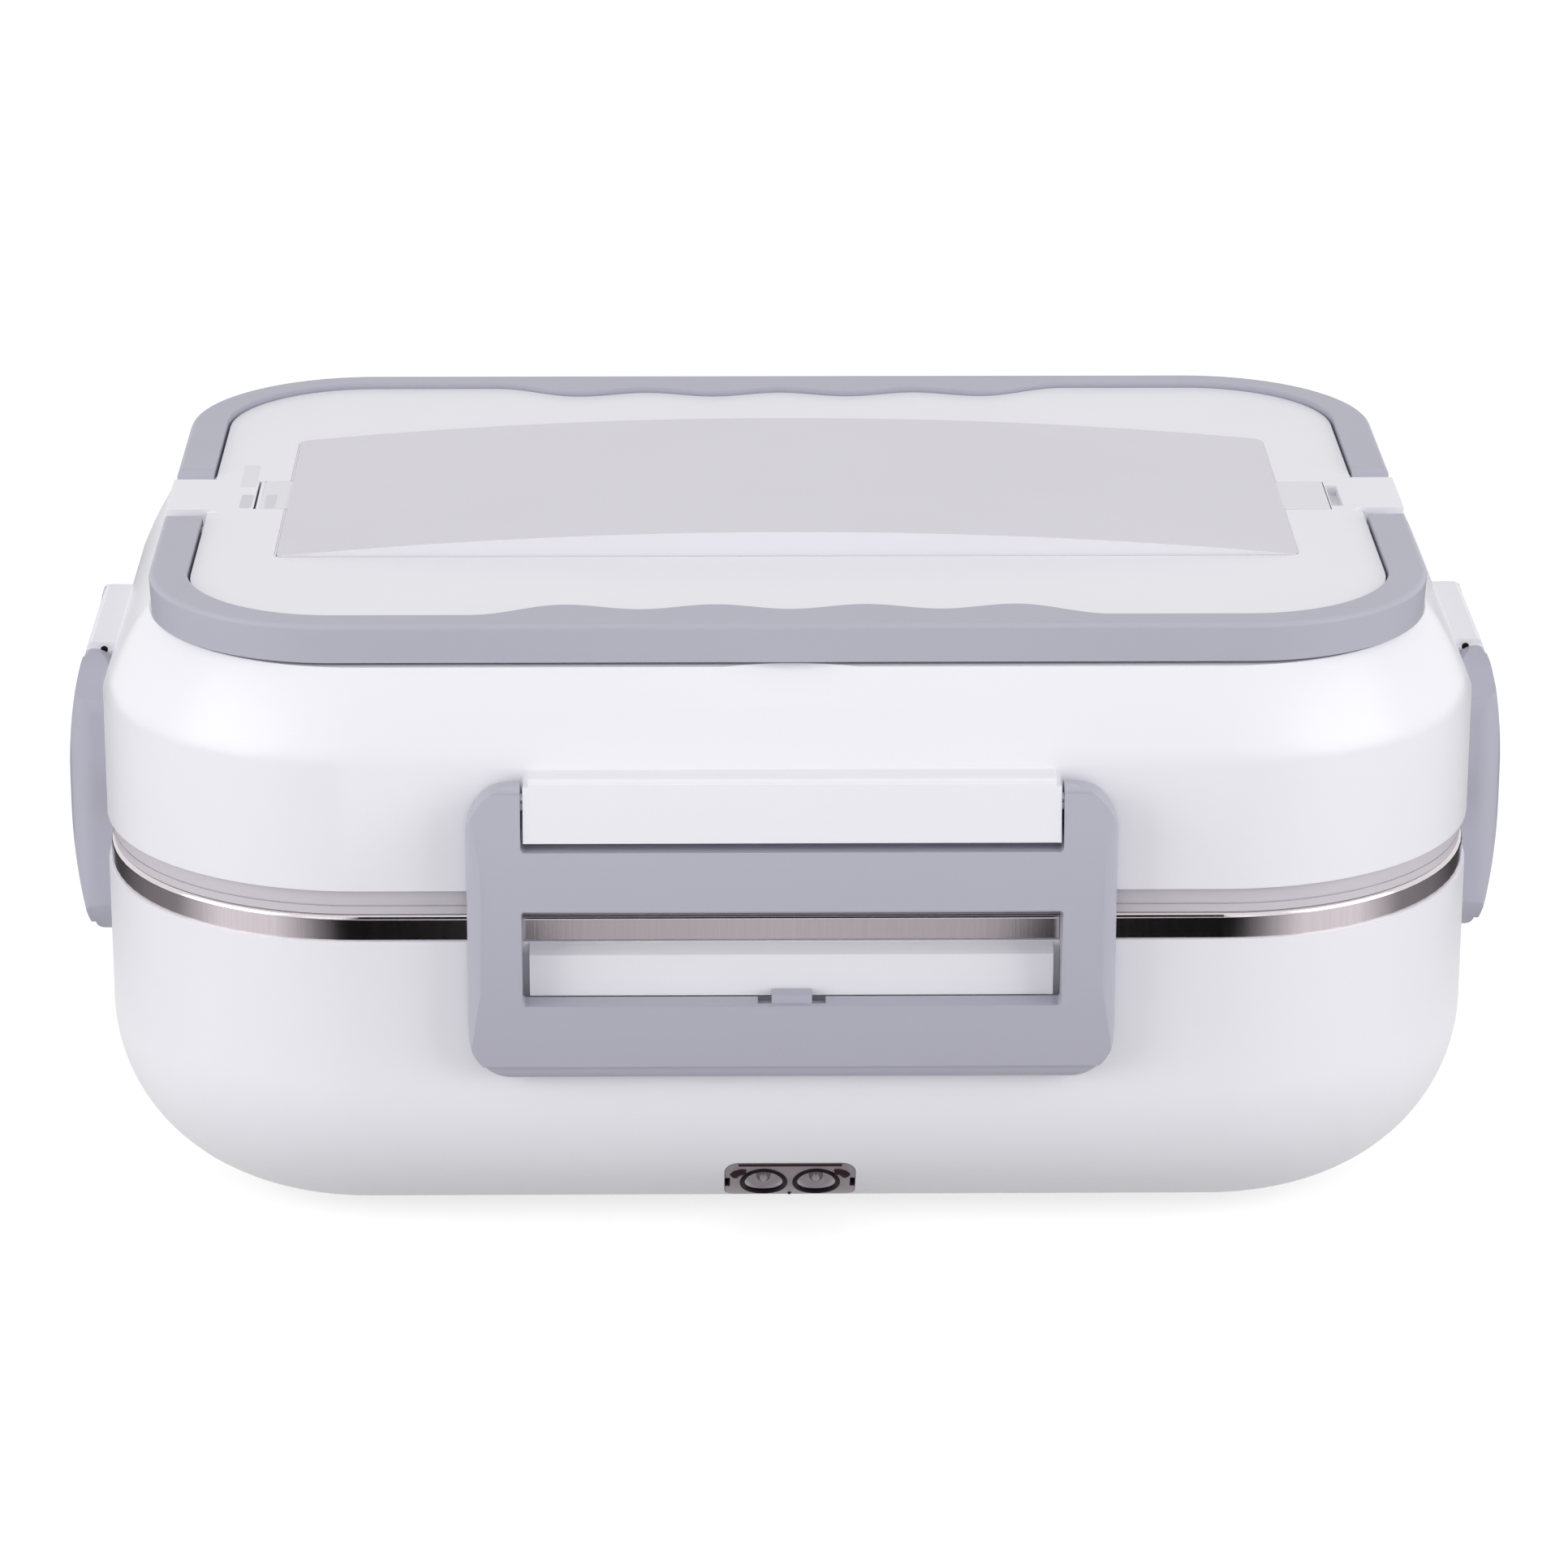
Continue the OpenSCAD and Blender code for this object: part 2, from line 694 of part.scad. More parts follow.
module wire(p) {
  rings = [for (i = [0 : wire_rings]) let (t = i / wire_rings, h = heading(p, t))
    for (k = [0 : wire_sides - 1]) let (a = 360 * k / wire_sides)
      curve(p, t) + wire_r * (cos(a) * side_of(h) + sin(a) * up_of(h))];
  walls = [for (i = [0 : wire_rings - 1], k = [0 : wire_sides - 1]) let (n = (k + 1) % wire_sides)
    for (f = [[i * wire_sides + k, (i + 1) * wire_sides + k, (i + 1) * wire_sides + n],
      [i * wire_sides + k, (i + 1) * wire_sides + n, i * wire_sides + n]]) f];
  first = [for (k = [0 : wire_sides - 1]) k];
  last = [for (k = [wire_sides - 1 : -1 : 0]) wire_rings * wire_sides + k];
  polyhedron(points = rings, faces = concat(walls, [first, last]));
}

module live_wire() { color("firebrick") wire(live_route); }
module fuse_wire() { color("firebrick") wire(fuse_route); }
module heater_lead() { color("firebrick") wire(lead_route); }
module neutral_wire() { color("royalblue") wire(neutral_route); }

// ---- Container ----

module food_container() {
  fillet = bottom_fillet - container_in;
  color(steel) {
    difference() {
      crate(container_in, plate_top, rim_top, fillet, 0);
      crate(container_in + steel_t, plate_top + steel_t, rim_top + cut, fillet - steel_t, 0);
    }
    difference() {
      crate(rim_inset, base_top, rim_top, 0, rim_r);
      crate(rim_inset + steel_t, base_top - cut, rim_top - steel_t, 0, rim_r - steel_t);
      slab(container_in + steel_t, base_top, rim_top + cut);
    }
  }
}

// ---- Lid ----

// Inner edge of the front bar: a wave of finger crests that runs out into the straight bar
function bar_edge(x) = let (beyond = abs(x) - wave_half)
  beyond > 0 ? -crest_y - crest_h / 2 * (1 - cos(half_turn * beyond / wave_run))
    : -crest_y - wave_depth / 2 * (1 + cos(360 * (x + crests % 2 * crest_pitch / 2) / crest_pitch));

// The grip on the front bar; grow widens it for the recess in the raised top
module grip(grow) {
  half = wave_half + wave_run;
  far = bar_inner_y + cut;
  polygon([for (i = [0 : wave_steps]) let (x = half * (2 * i / wave_steps - 1)) [x, bar_edge(x) + grow],
    [half, -far], [-half, -far]]);
}

module plateau_outline() {
  difference() {
    round_rect(plateau_x, plateau_y, handle_inner_r - handle_play);
    for (a = [0, half_turn]) rotate(a) grip(handle_play);
  }
}

module cover_box(grow, low, high, lead = 0) {
  translate([-lead / 2, 0, low]) linear_extrude(high - low)
    round_rect(2 * (cover_x + grow) + lead, 2 * (cover_y + grow), cover_r + grow);
}

module pocket_block(grow, low, high) {
  translate([0, 0, low]) linear_extrude(high - low)
    round_rect(2 * (pocket_x + grow), 2 * (pocket_y + grow), pocket_r + grow);
}

module hinge_tongue(grow, low, high) {
  translate([hinge_x, hinge_offset - hinge_w / 2 - grow, low])
    cube([-hinge_x - cover_x + cut, hinge_w + 2 * grow, high - low]);
}

module pull_tongue(grow, low, high) {
  translate([cover_x - cut, -tongue_half - grow, low])
    cube([tongue_len + grow + cut, 2 * (tongue_half + grow), high - low]);
}

module along_y(x, y, z, half, r) {
  translate([x, y, z]) rotate([quarter_turn, 0, 0]) cylinder(r = r, h = 2 * half, center = true);
}

// Solid with the lid's outline, whose shoulder leans in above the straight wall
module shouldered(inset, low, high) {
  r = corner_r - inset;
  swept(body_x - 2 * inset, body_y - 2 * inset, r, low, high) intersection() {
    translate([0, low]) square([r, high - low]);
    translate(shoulder_centre) circle(shoulder_r - inset, $fn = 720);
  }
}

// The lid's inner space, with what stands in it left out
module lid_hollow() {
  difference() {
    union() {
      shouldered(lid_wall, lid_bottom - cut, ceiling);
      translate([0, 0, ceiling - cut]) linear_extrude(plateau_top - plateau_skin - ceiling + cut)
        round_rect(plateau_x - 2 * plateau_wall, 2 * (crest_y - handle_play - plateau_wall),
          handle_inner_r - handle_play - plateau_wall);
    }
    pocket_block(pocket_wall, pocket_floor - pocket_wall, plateau_top);
    pocket_block(seat_w + pocket_wall, cover_low - seat_block_h, plateau_top);
    four(plateau_x / 2 - boss_len / 2, handle_pin_y)
      translate([-boss_len / 2, -boss_half, ceiling]) cube([boss_len, 2 * boss_half, plateau_top - ceiling]);
    translate([hinge_x - seat_block_h, hinge_offset - hinge_w / 2 - seat_block_h, hinge_z - seat_block_h])
      cube([2 * seat_block_h, hinge_w + 2 * seat_block_h, seat_block_h + plateau_skin]);
    translate([cover_x, -tongue_half - seat_w, cover_low - seat_block_h])
      cube([plateau_x / 2 - cover_x, 2 * (tongue_half + seat_w), seat_block_h + plateau_skin]);
  }
}

module bracket(side) {
  face = latch_proud - latch_gap;
  half = bracket_half(side);
  on_wall(side) difference() {
    wall_bar(half) difference() {
      intersection() {
        translate([-cut, bracket_low]) square([latch_proud + cut, bracket_h]);
        bow(face);
      }
      translate([bow_p(face, bracket_top), bracket_top]) corner_waste(bracket_edge_r);
    }
    for (s = [-1, 1])
      translate([s * half, -face / 2, bracket_top]) cube([2 * bracket_notch, 2 * face, 2 * bracket_notch_h],
        center = true);
  }
}

module latch_pin(side, half, r) {
  on_wall(side) translate([0, -pivot_p, pivot_z]) along_x(half, r);
}

module bridge() {
  start = plateau_x / 2;
  translate([0, bridge_half, 0]) rotate([quarter_turn, 0, 0]) linear_extrude(2 * bridge_half)
    polygon([[start - bridge_ramp, ceiling + cut], [bridge_end, ceiling + cut],
      [bridge_end, plateau_top + bridge_rise], [start, plateau_top + bridge_rise],
      [start - bridge_ramp, plateau_top]]);
}

// Dish under the front bar where a finger gets hold of the handle
module scoop() {
  edge = asin((channel_floor - shoulder_centre[1]) / shoulder_r);
  lean = edge + scoop_up / shoulder_r * half_turn / PI;
  reach = shoulder_r + scoop_r - scoop_depth;
  intersection() {
    translate([0, corner_r - shoulder_centre[0] - body_y / 2 - reach * cos(lean),
      shoulder_centre[1] + reach * sin(lean)])
      sphere(r = scoop_r, $fn = 180);
    slab(0, lid_wall_top, channel_floor + cut);
  }
}

module lid_shell() {
  color(white) difference() {
    union() {
      shouldered(0, lid_bottom, channel_floor);
      translate([0, 0, ceiling + cut]) linear_extrude(plateau_top - ceiling - cut) plateau_outline();
      for (a = [0, half_turn]) rotate(a) bridge();
      for (side = SIDES) bracket(side);
    }
    lid_hollow();
    slab(rabbet_wall, lid_bottom - cut, lid_bottom + rabbet_h);
    pocket_block(0, pocket_floor, plateau_top + cut);
    cover_box(seat_gap, cover_low, plateau_top + cut, swing_gap);
    hinge_tongue(seat_gap, cover_low - seat_gap, plateau_top + cut);
    translate([hinge_x - barrel_r - handle_play, hinge_offset - hinge_w / 2 - seat_gap,
      hinge_z - barrel_r - seat_gap])
      cube([2 * barrel_r + handle_play + cut, hinge_w + 2 * seat_gap, 2 * barrel_r + cut]);
    pull_tongue(seat_gap, cover_low, plateau_top + cut);
    translate([cover_x + tongue_len + 2 * seat_gap, -nail_slot_half, cover_low])
      cube([nail_slot_w, 2 * nail_slot_half, cover_wall + cut]);
    along_y(hinge_x, hinge_offset, hinge_z, hinge_w / 2 + seat_w, cover_pin_r);
    for (s = [-1, 1]) translate([0, s * handle_pin_y, handle_pin_z]) difference() {
      along_x(plateau_x / 2 + cut, handle_pin_r);
      along_x(plateau_x / 2 - pin_in_lid, handle_pin_r + cut);
    }
    for (side = SIDES) latch_pin(side, bracket_half(side) + cut, latch_pin_r);
    scoop();
  }
}

module lid_liner() {
  in = rabbet_wall + slip;
  deep = in + lid_liner_rim;
  top = lid_bottom + lid_liner_rise;
  color(white) difference() {
    union() {
      slab(in, lid_bottom, lid_bottom + rabbet_h);
      slab(deep - lid_liner_t, lid_bottom, top);
    }
    slab(deep, lid_bottom - cut, top - lid_liner_t);
    ring(seal_tongue_in, seal_tongue_w, lid_bottom - cut, lid_bottom + seal_tongue_h);
  }
}

module lid_seal() {
  color(silicone) {
    difference() {
      ring(seal_inset, seal_w, rim_top, lid_bottom);
      ring(seal_inset - cut, seal_groove + cut, rim_top + seal_lip, rim_top + seal_lip + seal_groove);
    }
    ring(seal_tongue_in, seal_tongue_w, lid_bottom - cut, lid_bottom + seal_tongue_h);
  }
}

module compartment_cover() {
  color(frost) difference() {
    union() {
      intersection() {
        cover_box(0, cover_low, crest_z + cut);
        translate([0, 0, crest_z - arch_r]) rotate([quarter_turn, 0, 0])
          cylinder(r = arch_r, h = 4 * cover_y, center = true, $fn = 720);
      }
      difference() {
        pocket_block(-seat_gap, cover_low - lip_h, cover_low + lip_t);
        pocket_block(-seat_gap - lip_t, cover_low - lip_h - cut, cover_low + 2 * lip_t);
      }
      hinge_tongue(0, cover_low, plateau_top);
      along_y(hinge_x, hinge_offset, hinge_z, hinge_w / 2, barrel_r);
      pull_tongue(0, cover_low, plateau_top);
    }
    intersection() {
      translate([-pocket_x + seat_w, -pocket_y + seat_gap + lip_t, cover_low - cut])
        cube([2 * (pocket_x - seat_w), 2 * (pocket_y - seat_gap - lip_t), 2 * cover_rise]);
      translate([0, 0, crest_z - arch_r]) rotate([quarter_turn, 0, 0])
        cylinder(r = arch_r - cover_wall, h = 4 * cover_y, center = true, $fn = 720);
    }
    along_y(hinge_x, hinge_offset, hinge_z, hinge_w, cover_pin_r + run);
  }
}

module cover_pin() {
  color(steel) along_y(hinge_x, hinge_offset, hinge_z, hinge_w / 2 + seat_w, cover_pin_r);
}

// ---- Handle ----

module handle_blank() {
  swept(handle_x, handle_y, handle_r, handle_low, handle_top)
    polygon([[0, handle_low], [handle_r - handle_lean, handle_low],
      for (i = [0 : handle_round_steps]) let (a = i / handle_round_steps * quarter_turn)
        [handle_r - handle_round * (1 - cos(a)), handle_top - handle_round * (1 - sin(a))],
      [0, handle_top]]);
}

// The front half bail; its arms end in a half round about the pins
module half_handle() {
  color(grey) difference() {
    union() {
      difference() {
        handle_blank();
        translate([0, 0, handle_low - cut]) linear_extrude(handle_t + 2 * cut)
          round_rect(handle_x - 2 * arm_w, handle_y - 2 * bar_w, handle_inner_r);
      }
      translate([0, 0, handle_low]) linear_extrude(handle_t) grip(0);
    }
    difference() {
      translate([-handle_x, -handle_pin_y, handle_low - cut]) cube([2 * handle_x, handle_y, handle_t + 2 * cut]);
      translate([0, -handle_pin_y, handle_pin_z]) along_x(handle_x, handle_t / 2);
    }
    translate([0, -handle_pin_y, handle_pin_z])
      along_x(handle_x / 2 - arm_w + pin_in_arm + slip, handle_pin_r + run);
  }
}

module front_handle() { half_handle(); }
module rear_handle() { rotate(half_turn) half_handle(); }

module handle_pins() {
  color(steel) for (s = [-1, 1]) translate([0, s * handle_pin_y, handle_pin_z]) difference() {
    along_x(handle_x / 2 - arm_w + pin_in_arm, handle_pin_r);
    along_x(plateau_x / 2 - pin_in_lid, handle_pin_r + cut);
  }
}

// ---- Latches ----

// Side section of a latch: distance from the wall, height
module latch_section(low, inner) {
  foot_p = bow_p(latch_proud, low);
  difference() {
    intersection() {
      bow(latch_proud);
      union() {
        translate([inner, low]) square([latch_proud, pivot_z - low]);
        translate([pivot_p, pivot_z]) circle(pivot_gap);
        translate([pivot_p, pivot_z - cut]) square([latch_proud, pivot_gap + cut]);
      }
    }
    translate([bow_p(latch_proud, latch_top), latch_top]) corner_waste(latch_top_r);
    translate([foot_p, low]) mirror([0, 1]) corner_waste(min(latch_bottom_r, foot_p - inner));
  }
}

// Front view of a latch: its outer frame
module latch_front(half, low) {
  translate([0, (low + latch_top) / 2]) round_rect(2 * half, latch_top - low, latch_corner_r);
}

module latch_opening(half, low, high) {
  translate([0, latch_proud, (low + high) / 2]) rotate([quarter_turn, 0, 0])
    linear_extrude(3 * latch_proud) round_rect(2 * half, high - low, opening_r);
}

module latch(side) {
  half = latch_half(side);
  low = latch_low(side);
  open = half - latch_rail;
  color(grey) on_wall(side) difference() {
    intersection() {
      wall_bar(half) latch_section(low, rail_gap);
      rotate([quarter_turn, 0, 0]) linear_extrude(3 * latch_proud, center = true) latch_front(half, low);
      translate([0, 0, low - cut]) linear_extrude(latch_top - low + 2 * cut)
        round_rect(2 * half, 2 * latch_proud, latch_edge_r);
    }
    latch_opening(open, latch_cut_low, 2 * latch_top);
    latch_opening(open, window_low, window_high);
    translate([-open, -catch_proud - latch_gap, low - cut])
      cube([2 * open, catch_proud + latch_gap + cut, latch_top]);
    for (s = [-1, 1])
      translate([s * (tab_half + tab_notch / 2) - tab_notch / 2, tab_lip - bow_p(latch_proud, window_low),
        window_low - tab_notch_h])
        cube([tab_notch, latch_proud, 2 * tab_notch_h]);
    translate([0, -pivot_p, pivot_z]) along_x(open + pin_in_rail + slip, latch_pin_r + run);
  }
  color(grey) on_wall(side) intersection() {
    wall_bar(tab_half) latch_section(low, catch_proud + latch_gap);
    translate([-tab_half, -catch_proud - latch_gap - latch_bottom_r, window_low - cut])
      cube([2 * tab_half, latch_bottom_r, tab_h + cut]);
  }
}

module front_latch() { latch("front"); }
module right_latch() { latch("right"); }
module rear_latch() { latch("rear"); }
module left_latch() { latch("left"); }

module latch_pins() {
  color(steel) for (side = SIDES)
    latch_pin(side, latch_half(side) - latch_rail + pin_in_rail, latch_pin_r);
}

base_shell();
base_liner();
heating_plate();
plate_seal();
ptc_heaters();
insulation_sheet();
heater_clamp();
clamp_screws();
thermostat();
thermal_fuse();
fuse_clip();
inlet_housing();
inlet_pins();
live_wire();
fuse_wire();
heater_lead();
neutral_wire();
case_screws();
rubber_feet();
food_container();
lid_shell();
lid_liner();
lid_seal();
compartment_cover();
cover_pin();
front_handle();
rear_handle();
handle_pins();
front_latch();
rear_latch();
left_latch();
right_latch();
latch_pins();
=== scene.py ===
"""Portable electric lunch box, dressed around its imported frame.

Shapes are given in millimetres and made in metres. The stage, the lamps and the depth of a grain are in
metres, and the scale of a texture is per metre.
"""
import json
import math

import bmesh
import bpy
from mathutils import Matrix, Vector


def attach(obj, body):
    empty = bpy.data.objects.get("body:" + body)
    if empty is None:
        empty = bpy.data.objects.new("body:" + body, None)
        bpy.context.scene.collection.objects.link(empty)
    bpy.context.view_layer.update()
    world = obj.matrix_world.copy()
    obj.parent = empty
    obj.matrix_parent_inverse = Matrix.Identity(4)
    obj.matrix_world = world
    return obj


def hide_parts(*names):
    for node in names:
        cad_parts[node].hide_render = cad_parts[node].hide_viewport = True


MM = 0.001

# ---- Camera, as solved from the photograph: millimetres and degrees ----

CAMERA_PLACE = (-14.24, -957.91, 391.86)
CAMERA_DOWN = 19.5
CAMERA_YAW = 0.85
CAMERA_ROLL = 0.13
CAMERA_LENS = 135.14
CAMERA_SENSOR = 36
CAMERA_NEAR = 10


def srgb(r, g, b):
    """A display colour in 0..255 as a linear colour."""
    def linear(v):
        v /= 255
        return v / 12.92 if v <= 0.04045 else ((v + 0.055) / 1.055) ** 2.4
    return (linear(r), linear(g), linear(b), 1)


# ---- Material building blocks ----

class Paint:
    """A material with a Principled shader and short calls for its nodes."""

    def __init__(self, name, colour, roughness, **inputs):
        self.material = bpy.data.materials.new(name)
        self.material.use_nodes = True
        self.nodes = self.material.node_tree.nodes
        self.links = self.material.node_tree.links
        self.shader = self.nodes["Principled BSDF"]
        self.shader.inputs["Base Color"].default_value = colour
        self.shader.inputs["Roughness"].default_value = roughness
        for key, value in inputs.items():
            self.shader.inputs[key.replace("_", " ")].default_value = value
        self.material.diffuse_color = colour

    def node(self, kind, **settings):
        made = self.nodes.new(kind)
        for key, value in settings.items():
            if hasattr(made, key):
                setattr(made, key, value)
            else:
                made.inputs[key].default_value = value
        return made

    def feed(self, value, socket):
        """Links a node's output to a socket, or sets the socket to a constant."""
        if hasattr(value, "links"):
            self.links.new(value, socket)
        else:
            socket.default_value = value

    def place(self, scale):
        """Object coordinates, stretched by scale."""
        coords = self.node("ShaderNodeTexCoord")
        mapping = self.node("ShaderNodeMapping")
        mapping.inputs["Scale"].default_value = scale
        self.links.new(coords.outputs["Object"], mapping.inputs["Vector"])
        return mapping.outputs["Vector"]

    def noise(self, scale, detail, stretch=(1, 1, 1), rough=0.5):
        made = self.node("ShaderNodeTexNoise", Scale=scale, Detail=detail, Roughness=rough)
        self.links.new(self.place(stretch), made.inputs["Vector"])
        return made.outputs["Fac"]

    def spread(self, value, low, high, start=0.0, end=1.0):
        """Maps start..end onto low..high."""
        made = self.node("ShaderNodeMapRange")
        made.inputs["From Min"].default_value = start
        made.inputs["From Max"].default_value = end
        made.inputs["To Min"].default_value = low
        made.inputs["To Max"].default_value = high
        self.links.new(value, made.inputs["Value"])
        return made.outputs["Result"]

    def mix(self, factor, first, second):
        made = self.node("ShaderNodeMix", data_type="RGBA")
        colours = [s for s in made.inputs if s.type == "RGBA"]
        for socket, value in zip(colours, (first, second)):
            self.feed(value, socket)
        self.links.new(factor, made.inputs["Factor"])
        return [s for s in made.outputs if s.type == "RGBA"][0]

    def math(self, operation, *values):
        made = self.node("ShaderNodeMath", operation=operation)
        for socket, value in zip(made.inputs, values):
            self.feed(value, socket)
        return made.outputs[0]

    def colour(self, value):
        self.links.new(value, self.shader.inputs["Base Color"])

    def roughness(self, value):
        self.links.new(value, self.shader.inputs["Roughness"])

    def bump(self, height, strength, distance):
        made = self.node("ShaderNodeBump", Strength=strength, Distance=distance)
        self.links.new(height, made.inputs["Height"])
        self.links.new(made.outputs["Normal"], self.shader.inputs["Normal"])


# Moulded plastics: scale and detail of the noises in colour and gloss, how far the roughness swings, and
# the detail and strength of the grain
COLOUR_NOISE = (25, 4)
GLOSS_NOISE = (60, 5)
MOULDED_SWING = (-0.05, 0.06)
MOULDED_GRAIN_DETAIL = 2
MOULDED_GRAIN_STRENGTH = 0.25

# Plainer materials: the same, and one depth of grain for all
PLAIN_GLOSS_NOISE = (80, 4)
PLAIN_SWING = (-0.06, 0.08)
PLAIN_GRAIN_DETAIL = 3
PLAIN_GRAIN_STRENGTH = 0.2
PLAIN_GRAIN_DEPTH = 0.00003

# Brushed metals: the streaks, the share of the roughness at their two ends, and how dark they get
STREAK_DETAIL = 6
STREAK_ROUGH = 0.7
STREAK_STRENGTH = 0.15
STREAK_DEPTH = 0.00002
STREAK_SWING = (0.6, 1.4)
STREAK_SHADE = 0.82

# Strength of the mirror layer on a plastic
FULL_SHINE = 0.5
DULL_SHINE = 0.1


def moulded(name, tone, shade, roughness, grain, depth, shine=FULL_SHINE):
    """Moulded plastic: a faint drift of colour, uneven gloss and a fine skin."""
    colour = srgb(*tone)
    paint = Paint(name, colour, roughness, Specular_IOR_Level=shine)
    paint.colour(paint.mix(paint.spread(paint.noise(*COLOUR_NOISE), 0, 1), colour, srgb(*shade)))
    smooth, rough = (roughness + swing for swing in MOULDED_SWING)
    paint.roughness(paint.spread(paint.noise(*GLOSS_NOISE), smooth, rough))
    paint.bump(paint.noise(grain, MOULDED_GRAIN_DETAIL), MOULDED_GRAIN_STRENGTH, depth)
    return paint.material


def brushed(name, tone, roughness, stretch):
    """Metal with fine streaks across its stretched directions."""
    colour = srgb(*tone)
    paint = Paint(name, colour, roughness, Metallic=1)
    streaks = paint.noise(1, STREAK_DETAIL, stretch, STREAK_ROUGH)
    smooth, rough = (roughness * swing for swing in STREAK_SWING)
    paint.roughness(paint.spread(streaks, smooth, rough))
    dark = tuple(STREAK_SHADE * v for v in colour[:3]) + (1,)
    paint.colour(paint.mix(streaks, colour, dark))
    paint.bump(streaks, STREAK_STRENGTH, STREAK_DEPTH)
    return paint.material


def plain(name, tone, roughness, grain, shine=FULL_SHINE):
    """One colour with an uneven gloss and a fine grain."""
    paint = Paint(name, srgb(*tone), roughness, Specular_IOR_Level=shine)
    smooth, rough = (roughness + swing for swing in PLAIN_SWING)
    paint.roughness(paint.spread(paint.noise(*PLAIN_GLOSS_NOISE), smooth, rough))
    paint.bump(paint.noise(grain, PLAIN_GRAIN_DETAIL), PLAIN_GRAIN_STRENGTH, PLAIN_GRAIN_DEPTH)
    return paint.material


# Colour, colour it drifts to, roughness, scale of the grain, depth of the grain, shine.
# The lighter entry for the cover's long edges is a painted highlight where light leaves the clear
# plastic, and frosted_tongue is its thin tongues, which lie on the white lid.
MOULDED = {
    "white_plastic": ((242, 241, 246), (239, 238, 243), 0.3, 2600, 0.00002),
    "inner_plastic": ((230, 229, 230), (224, 223, 224), 0.5, 1800, 0.00003),
    "grey_plastic": ((184, 183, 196), (181, 180, 193), 0.4, 3200, 0.00003, 0.25),
    "frosted_plastic": ((222, 220, 226), (217, 215, 221), 0.4, 4000, 0.00003),
    # Painted highlight for the cover's front and back edges
    "frosted_painted_highlight": ((232, 231, 236), (228, 227, 232), 0.3, 4000, 0.00002),
    "frosted_tongue": ((233, 232, 237), (229, 228, 233), 0.35, 4000, 0.00002),
    "silicone": ((208, 203, 209), (203, 198, 204), 0.35, 1500, 0.00002),
}

# Colour, roughness, scale of the streaks along each direction
BRUSHED = {
    "container_steel": ((230, 223, 226), 0.12, (2500, 2500, 60)),
    "aluminium": ((215, 215, 217), 0.35, (60, 4000, 60)),
    "heater_metal": ((205, 205, 205), 0.4, (900, 900, 900)),
    "zinc_steel": ((200, 200, 202), 0.3, (1500, 1500, 1500)),
    "contact_metal": ((160, 150, 154), 0.3, (1200, 1200, 1200)),
}

# Colour, roughness, scale of the grain, shine
PLAIN = {
    "mica": ((186, 170, 128), 0.6, 700),
    "dark_plastic": ((140, 128, 135), 0.35, 1500),
    "live_insulation": ((176, 30, 26), 0.45, 1500),
    "neutral_insulation": ((30, 60, 150), 0.45, 1500),
    "rubber": ((52, 52, 54), 0.7, 1100),
    # Painted shade of the pin bores in the side brackets
    "pin_bore_shade": ((30, 18, 20), 0.6, 1500, DULL_SHINE),
    # Dark lips of the inlet's wells; the same dark is painted shade in the slot between them
    "inlet_lip": ((26, 16, 20), 0.6, 1500, DULL_SHINE),
    # Painted shadows beside the inlet's wells and painted shade along its top
    "inlet_painted_shade": ((44, 28, 30), 0.6, 1500, DULL_SHINE),
    # Painted light: the inlet's wells lined near white for the light inside them
    "inlet_lining_painted_light": ((246, 241, 246), 0.3, 1500),
}


def make_materials():
    made = {}
    for make, table in ((moulded, MOULDED), (brushed, BRUSHED), (plain, PLAIN)):
        for name, values in table.items():
            made[name] = make(name, *values)
    return made


def paint_nodes(frame, made):
    """Gives every carried-over node the finish of its slot."""
    for part in frame["record"]["subparts"]:
        mesh = frame["nodes"][part["node"]].data
        mesh.materials.clear()
        mesh.materials.append(made[part["material_slot"]])


# ---- Skins: a node's own shape with rounded edges and smooth curves ----

WELD = 0.000002                     # metres
STRAIGHT = math.radians(0.4)        # edges flatter than this are dissolved
SHADED_SHARP = math.radians(40)     # edges left sharper than this are shaded as edges
ROUND_SEGMENTS = 3
ROUND_PROFILE = 0.5                 # a circle's arc

SKINS = {                           # node: width of the rounding, crease angle in degrees
    "lid_shell": (0.4, 34),
    "base_shell": (0.35, 34),
    "compartment_cover": (0.3, 34),
    "front_handle": (0.45, 30),
    "rear_handle": (0.45, 30),
    "front_latch": (0.45, 30),
    "rear_latch": (0.45, 30),
    "left_latch": (0.45, 30),
    "right_latch": (0.45, 30),
}

# The cover: half its length and half its width without the tongues, its tongues' finish and the painted
# highlight on its edges
COVER_X = 84.0
COVER_Y = 34.0
COVER_TONGUE_AND_HIGHLIGHT = ("frosted_painted_highlight", "frosted_tongue")
# Faces of the cover that look to the front or back take the painted highlight
HIGHLIGHT_PLACE, TONGUE_PLACE = 1, 2     # their places in the cover's list of materials
PAST_COVER = 0.01                   # millimetres; a face whose middle lies past this is a tongue's
HIGHLIGHT_FACING = 0.6                   # share of a face's normal that looks to the front or back


